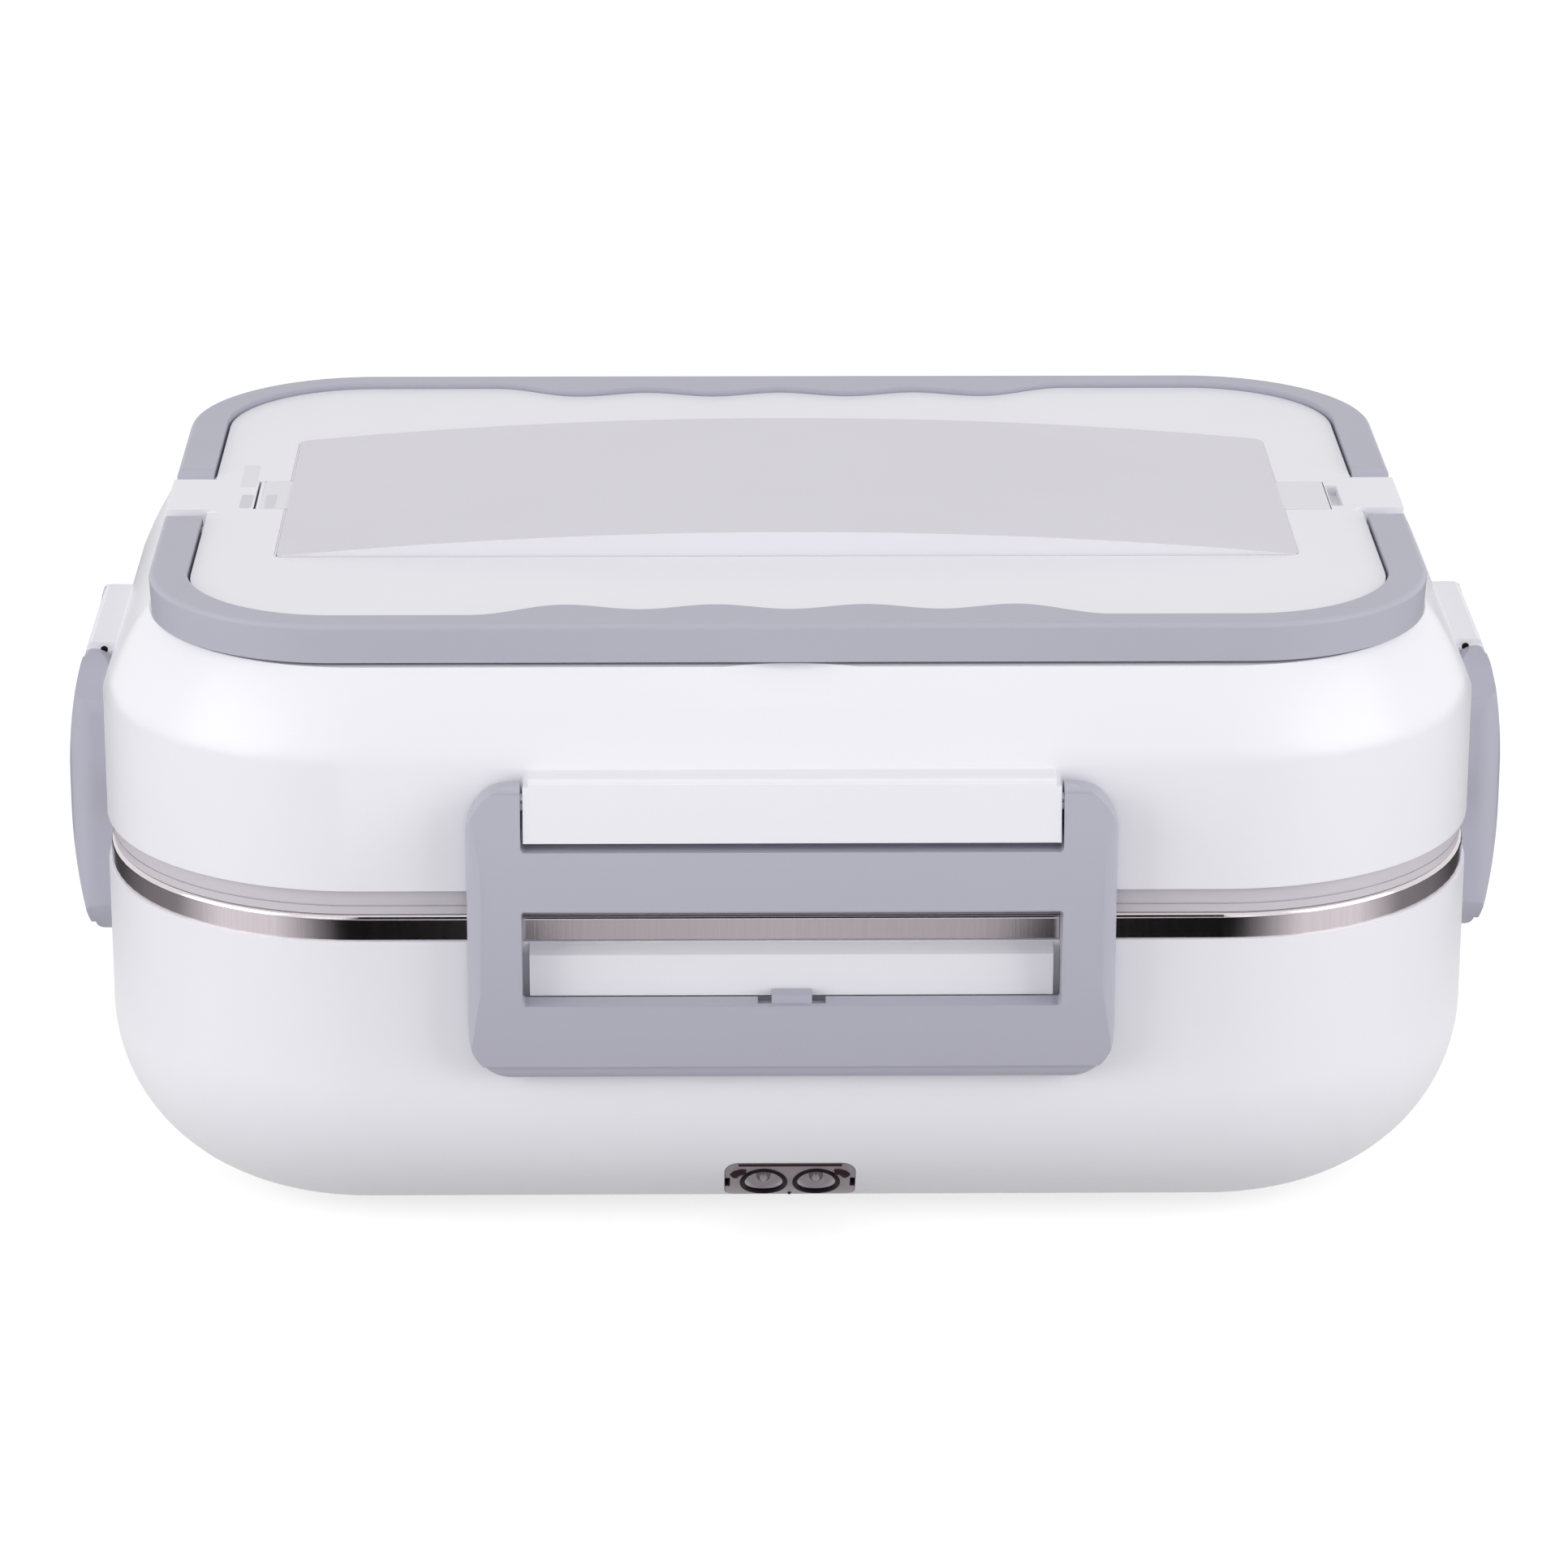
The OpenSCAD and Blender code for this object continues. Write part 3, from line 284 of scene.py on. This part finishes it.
def skin(frame, node, body, material, width, crease):
    shape = bmesh.new()
    shape.from_mesh(frame["nodes"][node].data)
    bmesh.ops.remove_doubles(shape, verts=shape.verts, dist=WELD)
    bmesh.ops.dissolve_degenerate(shape, dist=WELD, edges=shape.edges)
    bmesh.ops.dissolve_limit(shape, angle_limit=STRAIGHT, verts=shape.verts, edges=shape.edges)
    sharp = [e for e in shape.edges if e.is_manifold and e.calc_face_angle() > math.radians(crease)]
    bmesh.ops.bevel(shape, geom=sharp, offset=width * MM, offset_type="OFFSET",
                    segments=ROUND_SEGMENTS, profile=ROUND_PROFILE, clamp_overlap=True, affect="EDGES")
    for face in shape.faces:
        face.smooth = True
    for edge in shape.edges:
        edge.smooth = not (edge.is_manifold and edge.calc_face_angle() > SHADED_SHARP)
    mesh = bpy.data.meshes.new(node + "_skin")
    shape.to_mesh(mesh)
    shape.free()
    if "custom_normal" in mesh.attributes:
        mesh.attributes.remove(mesh.attributes["custom_normal"])
    mesh.materials.clear()
    mesh.materials.append(material)
    piece = bpy.data.objects.new(node + "_skin", mesh)
    bpy.context.scene.collection.objects.link(piece)
    normals = piece.modifiers.new("normals", "WEIGHTED_NORMAL")
    normals.keep_sharp = True
    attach(piece, body)
    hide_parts(node)
    return piece


def tongues_and_painted_highlight(mesh, made):
    """The cover's tongues in a lighter finish, and a painted highlight along its front and back edges.
    """
    for name in COVER_TONGUE_AND_HIGHLIGHT:
        mesh.materials.append(made[name])
    for face in mesh.polygons:
        if abs(face.center.x) > (COVER_X + PAST_COVER) * MM:
            face.material_index = TONGUE_PLACE
        elif abs(face.normal.y) > HIGHLIGHT_FACING:
            face.material_index = HIGHLIGHT_PLACE


def skins(frame, made):
    record = frame["record"]
    slots = {part["node"]: part["material_slot"] for part in record["subparts"]}
    bodies = {n: b for b, members in record["behaviour"]["bodies"].items() for n in members}
    for node, (width, crease) in SKINS.items():
        slot = slots[node]
        piece = skin(frame, node, bodies[node], made[slot], width, crease)
        if node == "compartment_cover":
            tongues_and_painted_highlight(piece.data, made)


# ---- Small visible details, in millimetres ----

BEAD_ROUNDNESS = 4


def add_mesh(name, verts, faces, material, body, smooth=True):
    mesh = bpy.data.meshes.new(name)
    mesh.from_pydata([tuple(v * MM for v in p) for p in verts], [], faces)
    for face in mesh.polygons:
        face.use_smooth = smooth
    mesh.materials.append(material)
    obj = bpy.data.objects.new(name, mesh)
    bpy.context.scene.collection.objects.link(obj)
    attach(obj, body)


def add_bead(name, points, radius, material, body, closed=False):
    """A round bead along a line of points."""
    curve = bpy.data.curves.new(name, "CURVE")
    curve.dimensions = "3D"
    curve.bevel_depth = radius * MM
    curve.bevel_resolution = BEAD_ROUNDNESS
    curve.use_fill_caps = not closed
    line = curve.splines.new("POLY")
    line.points.add(len(points) - 1)
    for target, p in zip(line.points, points):
        target.co = (p[0] * MM, p[1] * MM, p[2] * MM, 1)
    line.use_cyclic_u = closed
    curve.materials.append(material)
    obj = bpy.data.objects.new(name, curve)
    bpy.context.scene.collection.objects.link(obj)
    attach(obj, body)


def circle(radius, sides):
    turns = [2 * math.pi * i / sides for i in range(sides)]
    return [(radius * math.cos(a), radius * math.sin(a)) for a in turns]


# The cover's seat in the lid: height of its rim, middle and half width of the tongues
PLATEAU_TOP = 104.4
HINGE_Y = 1.5
PULL_Y = 0
TONGUE_HALF = 8.0
TONGUE_PLAY = 0.3
SEAT_CORNER = 0.8

# Beads in the gaps at the cover's ends: side, its sign, distance past the cover, tongue's middle, radius
SEAT_BEADS = [
    ("left", -1, 0.21, HINGE_Y, 0.18),
    ("right", 1, 0.1, PULL_Y, 0.09),
]

# Beads in the gap at the hinge tongue's end: name, body, slot, x, z, radius, length past the tongue.
# The cover's own bead stays clear of the lid while the cover turns.
HINGE_BEADS = [
    ("seat_edge_hinge", "lid", "white_plastic", -89.95, 104.15, 0.24, 0.1),
    ("cover_edge_hinge", "cover", "frosted_plastic", -89.0, 103.95, 0.42, -0.05),
]


def cover_seat_details(made):
    """Rounded white edges in the narrow gaps around the ends of the cover."""
    white = made["white_plastic"]
    reach = COVER_Y - SEAT_CORNER
    for side, way, past, middle, radius in SEAT_BEADS:
        x, z = way * (COVER_X + past), PLATEAU_TOP - radius
        half = TONGUE_HALF + TONGUE_PLAY
        for part, start, end in (("near", -reach, middle - half), ("far", middle + half, reach)):
            add_bead(f"seat_edge_{side}_{part}", [(x, start, z), (x, end, z)], radius, white,
                     "lid")
    for name, body, slot, x, z, radius, past in HINGE_BEADS:
        half = TONGUE_HALF + past
        add_bead(name, [(x, HINGE_Y - half, z), (x, HINGE_Y + half, z)], radius, white, body)


# Flat lugs and marks about the hinge tongue: name, body, slot, x and y span, colour
HINGE_MARKS = [
    ("hinge_lug", "lid", "white_plastic", (-92.8, -90.1), (6.0, 19.0), (231, 230, 235)),
    ("hinge_mark_lid", "lid", "white_plastic", (-92.1, -90.1), (-6.3, 1.5), (214, 212, 218)),
    ("hinge_mark_cover", "cover", "frosted_plastic", (-87.9, -86.1), (-6.3, 1.5), (218, 216, 222)),
]
MARK_UP = 0.03
MARK_DOWN = 0.1
MARK_R = 0.6
MARK_CORNER_STEPS = 6
MARK_ROUGHNESS = 0.4
MARK_GRAIN = 2500


def hinge_marks():
    for name, body, slot, (x0, x1), (y0, y1), tone in HINGE_MARKS:
        centres = [(x1 - MARK_R, y1 - MARK_R), (x0 + MARK_R, y1 - MARK_R),
                   (x0 + MARK_R, y0 + MARK_R), (x1 - MARK_R, y0 + MARK_R)]
        rim = []
        for quarter, (cx, cy) in enumerate(centres):
            for step in range(MARK_CORNER_STEPS + 1):
                a = (quarter + step / MARK_CORNER_STEPS) * math.pi / 2
                rim.append((cx + MARK_R * math.cos(a), cy + MARK_R * math.sin(a)))
        count = len(rim)
        verts = [(x, y, PLATEAU_TOP + MARK_UP) for x, y in rim]
        verts += [(x, y, PLATEAU_TOP - MARK_DOWN) for x, y in rim]
        faces = [tuple(range(count))]
        faces += [(i, count + i, count + (i + 1) % count, (i + 1) % count) for i in range(count)]
        tint = plain(name, tone, MARK_ROUGHNESS, MARK_GRAIN)
        add_mesh(name, verts, faces, tint, body, smooth=False)


# Pin bores in the ends of the side brackets, drawn as dark discs of painted shade: place of the pin, and
# how far the discs stand proud
BRACKET_END = 16.9
PIN_X = 114.5
PIN_Z = 82.9
PIN_HOLE_R = 0.62
PIN_HOLE_SIDES = 32
PIN_RIM_PROUD = 0.01
PIN_MIDDLE_PROUD = 0.04


def pin_bore_shades(made):
    """Painted shade of the pin bores: dark discs on the near and far ends of the side brackets."""
    for side, x in (("left", -PIN_X), ("right", PIN_X)):
        for part, way in (("near", -1), ("far", 1)):
            y = way * (BRACKET_END + PIN_RIM_PROUD)
            verts = [(x + dx, y, PIN_Z + dz) for dx, dz in circle(PIN_HOLE_R, PIN_HOLE_SIDES)]
            verts.append((x, way * (BRACKET_END + PIN_MIDDLE_PROUD), PIN_Z))
            faces = [(i, (i + 1) % PIN_HOLE_SIDES, PIN_HOLE_SIDES) for i in range(PIN_HOLE_SIDES)]
            add_mesh(f"pin_bore_shade_{side}_{part}", verts, faces, made["pin_bore_shade"], "lid")


# The tub's front face: its height above the floor, the rounding at its foot and the wall above
BODY_BOTTOM = 0.8
BOTTOM_FILLET = 30.0
WALL_Y = -81.7

# Power inlet: outer size, and the two round wells with their pins
INLET_W = 21.2
INLET_H = 10.2
INLET_R = 2.2
WELL_X = 4.3
WELL_Z = 9.3
WELL_R = 3.5
WELL_END = -66.5
WELL_SIDES = 64

# Each bead's or lining's depth behind the tub's face, and its radius
LIP_BACK, LIP_R = 0.12, 0.43
LINING_BACK, LINING_IN = 0.3, 0.3
# Painted shadows beside the wells
SHADOW_BACK, SHADOW_R = 0.6, 1.0
SHADE_BACK, SHADE_R = 0.15, 0.34
SLOT_BACK, SLOT_R = 0.1, 0.3

# Painted shadow beside each well, mirrored for the left well
SHADOW_LINE = [(9.1, 11.6), (8.6, 12.3), (7.9, 12.6), (7.3, 12.5)]      # x and z beside the right well
SHADE_DOWN = 0.35                                                       # below the inlet's upper edge
SHADE_STEPS = 10                                                        # on each side of the middle
SLOT_SPAN = (4.7, 5.4)                                                  # z of the slot's ends


def tub_face(z):
    """Depth of the tub's front face at a height."""
    rise = min(z - BODY_BOTTOM, BOTTOM_FILLET)
    return WALL_Y + BOTTOM_FILLET - math.sqrt(BOTTOM_FILLET ** 2 - (BOTTOM_FILLET - rise) ** 2)


def on_tub(points, back):
    """Points given by x and z, placed at a depth behind the tub's front face."""
    return [(x, tub_face(z) + back, z) for x, z in points]


def inlet_details(made):
    """Dark lips of the inlet's wells, their linings painted near white for the light inside them,
    painted shadows beside them, and painted shade along the inlet's top and in the slot between them.
    """
    lip, shade_tint, pale_lining = made["inlet_lip"], made["inlet_painted_shade"], made["inlet_lining_painted_light"]
    for side, way in (("left", -1), ("right", 1)):
        x = way * WELL_X

        def ring(radius, back):
            return on_tub([(x + dx, WELL_Z + dz) for dx, dz in circle(radius, WELL_SIDES)], back)

        add_bead(f"inlet_lip_{side}", ring(WELL_R, LIP_BACK), LIP_R, lip,
                 "base", closed=True)
        # The lining is painted near white for the light inside the well
        mouth = ring(WELL_R - LINING_IN, LINING_BACK)
        end = [(px, WELL_END, pz) for px, _, pz in mouth]
        count = WELL_SIDES
        verts = mouth + end + [(x, WELL_END, WELL_Z)]
        faces = [(i, (i + 1) % count, count + (i + 1) % count, count + i) for i in range(count)]
        faces += [(count + i, count + (i + 1) % count, 2 * count) for i in range(count)]
        add_mesh(f"inlet_lining_painted_light_{side}", verts, faces, pale_lining, "base")
        # Painted shadow beside the well
        line = [(way * px, pz) for px, pz in SHADOW_LINE]
        add_bead(f"inlet_painted_shade_{side}", on_tub(line, SHADOW_BACK), SHADOW_R, shade_tint,
                 "base")
    top = WELL_Z + INLET_H / 2 - SHADE_DOWN
    half = INLET_W / 2 - INLET_R
    line = [(half * (i / SHADE_STEPS - 1), top) for i in range(2 * SHADE_STEPS + 1)]
    add_bead("inlet_top_shade", on_tub(line, SHADE_BACK), SHADE_R, shade_tint, "base")
    # Painted shade: a dark bead in the slot between the wells
    add_bead("inlet_slot_shade", on_tub([(0, z) for z in SLOT_SPAN], SLOT_BACK), SLOT_R, lip,
             "base")


# ---- Stage, light and camera, in metres ----

FLOOR_SIZE = (6, 6)
FLOOR_PLACE = (0, 0.6, -0.0002)
FLOOR_COLOUR = (0.5, 0.5, 0.5, 1)
FLOOR_ROUGHNESS = 0.95
FLOOR_LIGHT = 0.66

TABLE_CARD_SIZE = (1.1, 1.1)
TABLE_CARD_PLACE = (0, 0, 0.0002)
# What the polished rim mirrors from the table: tone by direction, 0 degrees in front and 180 behind
GLEAM = [(0, 0.57), (10.4, 0.51), (12.0, 0.002), (24, 0.002), (31, 0.25), (43, 0.85), (60, 0.9),
         (76, 0.27), (92, 0.2), (108, 0.07), (135, 0.05), (180, 0.1)]
GLEAM_TINT = (1, 0.96, 1)
GLEAM_START = 0.15                  # distance from the middle where the tones begin
GLEAM_FULL = 0.2
NEAR_COLOUR = (0.8, 0.8, 0.8, 1)    # of the card nearer than that

FRONT_CARD_SIZE = (0.5, 1.3)
FRONT_CARD_PLACE = (0, -1.15, 0.68)
FRONT_CARD_COLOUR = (0.004, 0.003, 0.003, 1)

WORLD_COLOUR = (0.985, 0.985, 1.0, 1)
WORLD_STRENGTH = 0.65
WHITE = (1, 1, 1, 1)

LAMP_TARGET = (0, 0, 0.06)
LAMPS = [                           # name, place, size, power in watts
    ("front", (-0.1, -1.5, 0.55), (1.4, 0.7), 0.9),
    ("left", (-1.1, -0.6, 0.4), (1.0, 1.0), 7.5),
    ("right", (1.1, -0.6, 0.4), (1.0, 1.0), 7.5),
]


def add_plane(name, size, place, turn=(0, 0, 0)):
    wide, deep = size[0] / 2, size[1] / 2
    mesh = bpy.data.meshes.new(name)
    corners = [(-wide, -deep, 0), (wide, -deep, 0), (wide, deep, 0), (-wide, deep, 0)]
    mesh.from_pydata(corners, [], [(0, 1, 2, 3)])
    obj = bpy.data.objects.new(name, mesh)
    obj.location = place
    obj.rotation_euler = turn
    bpy.context.scene.collection.objects.link(obj)
    return obj


def seen(nodes, links):
    """1 for camera, glossy and transmission rays."""
    path = nodes.new("ShaderNodeLightPath")
    value = path.outputs["Is Camera Ray"]
    for kind in ("Is Glossy Ray", "Is Transmission Ray"):
        most = nodes.new("ShaderNodeMath")
        most.operation = "MAXIMUM"
        links.new(value, most.inputs[0])
        links.new(path.outputs[kind], most.inputs[1])
        value = most.outputs[0]
    return value


def floor():
    """A white floor: its own soft shadow, with light added where the camera or a gloss sees it."""
    obj = add_plane("floor", FLOOR_SIZE, FLOOR_PLACE)
    paint = Paint("floor", FLOOR_COLOUR, FLOOR_ROUGHNESS)
    paint.shader.inputs["Emission Color"].default_value = WHITE
    paint.links.new(paint.spread(seen(paint.nodes, paint.links), 0, FLOOR_LIGHT),
                    paint.shader.inputs["Emission Strength"])
    obj.data.materials.append(paint.material)


def mirrored_only(obj):
    for kind in ("camera", "diffuse", "transmission", "shadow", "volume_scatter"):
        setattr(obj, "visible_" + kind, False)


def table_card():
    """A card that only mirrors: its tone follows the direction from the middle of the table."""
    card = add_plane("card_table", TABLE_CARD_SIZE, TABLE_CARD_PLACE)
    paint = Paint("card_table", (0, 0, 0, 1), 1, Specular_IOR_Level=0)
    coords = paint.node("ShaderNodeTexCoord")
    parts = paint.node("ShaderNodeSeparateXYZ")
    paint.links.new(coords.outputs["Object"], parts.inputs[0])
    side = paint.math("ABSOLUTE", parts.outputs[0])
    ahead = paint.math("MULTIPLY", parts.outputs[1], -1.0)
    direction = paint.math("DIVIDE", paint.math("ARCTAN2", side, ahead), math.pi)
    ramp = paint.node("ShaderNodeValToRGB")
    stops = ramp.color_ramp.elements
    for _ in GLEAM[2:]:                 # a new ramp has two stops
        stops.new(0.5)
    for stop, (degrees, tone) in zip(stops, GLEAM):
        stop.position = degrees / 180
        stop.color = tuple(tint * tone for tint in GLEAM_TINT) + (1,)
    paint.links.new(direction, ramp.inputs[0])
    far = paint.node("ShaderNodeVectorMath", operation="LENGTH")
    paint.links.new(coords.outputs["Object"], far.inputs[0])
    reach = paint.spread(far.outputs["Value"], 0, 1, GLEAM_START, GLEAM_FULL)
    paint.links.new(paint.mix(reach, NEAR_COLOUR, ramp.outputs["Color"]),
                    paint.shader.inputs["Emission Color"])
    paint.shader.inputs["Emission Strength"].default_value = 1
    card.data.materials.append(paint.material)
    mirrored_only(card)


def front_card():
    """A dark standing card behind the camera, for the rim's upper edge."""
    card = add_plane("card_front", FRONT_CARD_SIZE, FRONT_CARD_PLACE, (math.pi / 2, 0, 0))
    paint = Paint("card_front", FRONT_CARD_COLOUR, 1, Specular_IOR_Level=0)
    card.data.materials.append(paint.material)
    mirrored_only(card)


def world_light():
    """A soft light from all around, which the camera and glossy surfaces see as plain white."""
    world = bpy.data.worlds.new("studio")
    bpy.context.scene.world = world
    world.use_nodes = True
    nodes, links = world.node_tree.nodes, world.node_tree.links
    lit = nodes["Background"]
    lit.inputs["Color"].default_value = WORLD_COLOUR
    lit.inputs["Strength"].default_value = WORLD_STRENGTH
    white = nodes.new("ShaderNodeBackground")
    white.inputs["Color"].default_value = WHITE
    white.inputs["Strength"].default_value = 1
    choose = nodes.new("ShaderNodeMixShader")
    links.new(seen(nodes, links), choose.inputs[0])
    links.new(lit.outputs[0], choose.inputs[1])
    links.new(white.outputs[0], choose.inputs[2])
    links.new(choose.outputs[0], nodes["World Output"].inputs["Surface"])


def lamps():
    for name, place, size, power in LAMPS:
        data = bpy.data.lights.new(name, "AREA")
        data.shape = "RECTANGLE"
        data.size, data.size_y = size
        data.energy = power
        obj = bpy.data.objects.new(name, data)
        bpy.context.scene.collection.objects.link(obj)
        obj.location = place
        aim = Vector(LAMP_TARGET) - Vector(place)
        obj.rotation_euler = aim.to_track_quat("-Z", "Y").to_euler()


def camera():
    data = bpy.data.cameras.new("photo_view")
    data.lens = CAMERA_LENS
    data.sensor_width = CAMERA_SENSOR
    data.clip_start = CAMERA_NEAR * MM
    obj = bpy.data.objects.new("photo_view", data)
    bpy.context.scene.collection.objects.link(obj)
    down, yaw, roll = (math.radians(v) for v in (CAMERA_DOWN, CAMERA_YAW, CAMERA_ROLL))
    forward = Vector((math.sin(yaw) * math.cos(down), math.cos(yaw) * math.cos(down), -math.sin(down)))
    right = Vector((math.cos(yaw), -math.sin(yaw), 0))
    up = right.cross(forward)
    rolled_right = math.cos(roll) * right + math.sin(roll) * up
    rolled_up = math.cos(roll) * up - math.sin(roll) * right
    turn = Matrix((rolled_right, rolled_up, -forward)).transposed()
    obj.matrix_world = Matrix.Translation(Vector(CAMERA_PLACE) * MM) @ turn.to_4x4()
    bpy.context.scene.camera = obj


def view_settings():
    bpy.context.scene.view_settings.view_transform = "Standard"


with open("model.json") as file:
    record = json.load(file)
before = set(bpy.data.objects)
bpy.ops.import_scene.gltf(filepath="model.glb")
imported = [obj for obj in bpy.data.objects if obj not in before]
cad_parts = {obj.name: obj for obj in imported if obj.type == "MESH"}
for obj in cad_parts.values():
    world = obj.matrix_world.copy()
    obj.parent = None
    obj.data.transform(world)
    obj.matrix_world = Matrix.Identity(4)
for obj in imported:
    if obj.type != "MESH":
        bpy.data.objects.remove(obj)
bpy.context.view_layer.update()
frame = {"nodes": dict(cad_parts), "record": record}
made = make_materials()
paint_nodes(frame, made)
skins(frame, made)
cover_seat_details(made)
hinge_marks()
pin_bore_shades(made)
inlet_details(made)
floor()
table_card()
front_card()
world_light()
lamps()
camera()
view_settings()
